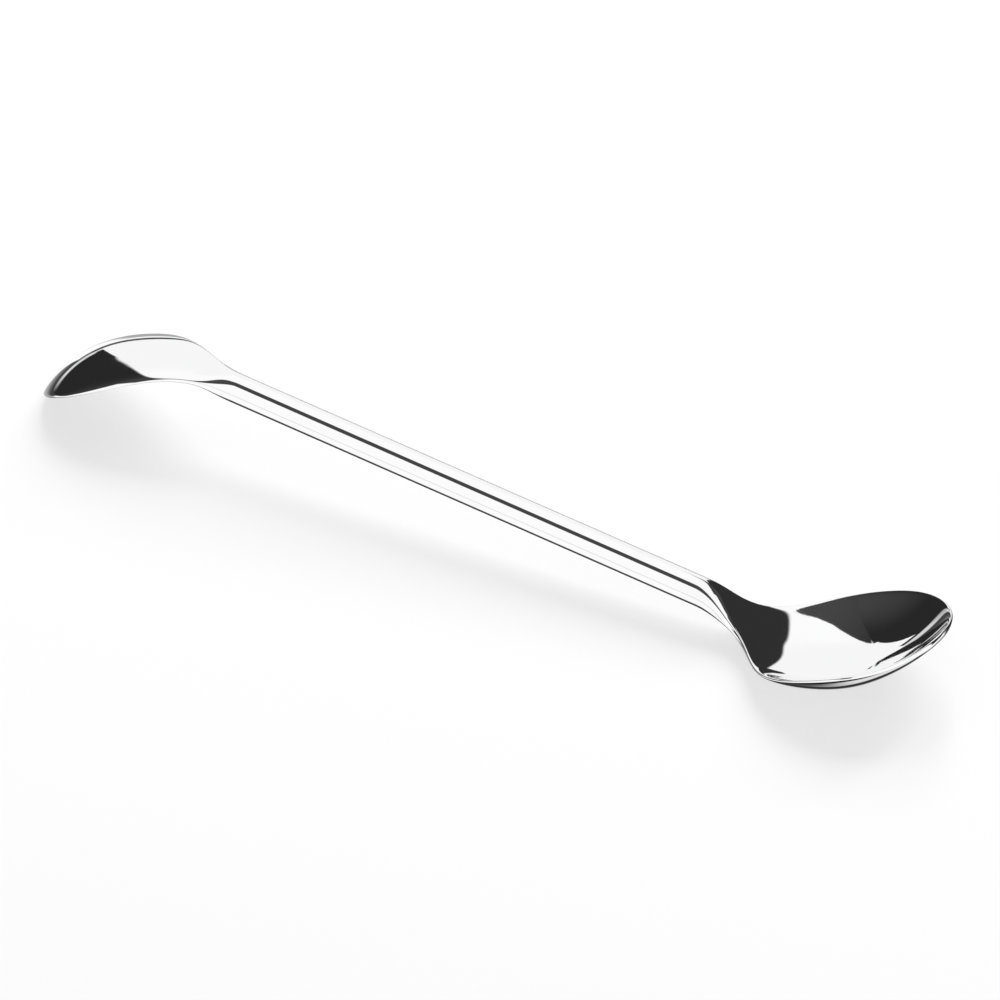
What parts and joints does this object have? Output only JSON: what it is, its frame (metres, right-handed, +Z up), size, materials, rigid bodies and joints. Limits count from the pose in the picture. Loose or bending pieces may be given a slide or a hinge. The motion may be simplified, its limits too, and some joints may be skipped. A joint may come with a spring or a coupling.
{
  "type": "laboratory spoon spatula",
  "caption": "Polished steel laboratory spoon: a straight round rod with a wide egg-shaped bowl at one end and a narrow leaf-shaped bowl, turned over and drooping, at the other.",
  "frame": {"origin": "on the floor, under the middle of the spoon's bounding box, the spoon lying at rest", "axes": "+X along the spoon towards the wide bowl, +Y across it, +Z up"},
  "size_m": [0.1516, 0.0272, 0.0129],
  "materials": {
    "polished_steel": "mirror-polished stainless steel"
  },
  "bodies": {
    "root": {"spoon": "polished_steel"}
  },
  "joints": []
}
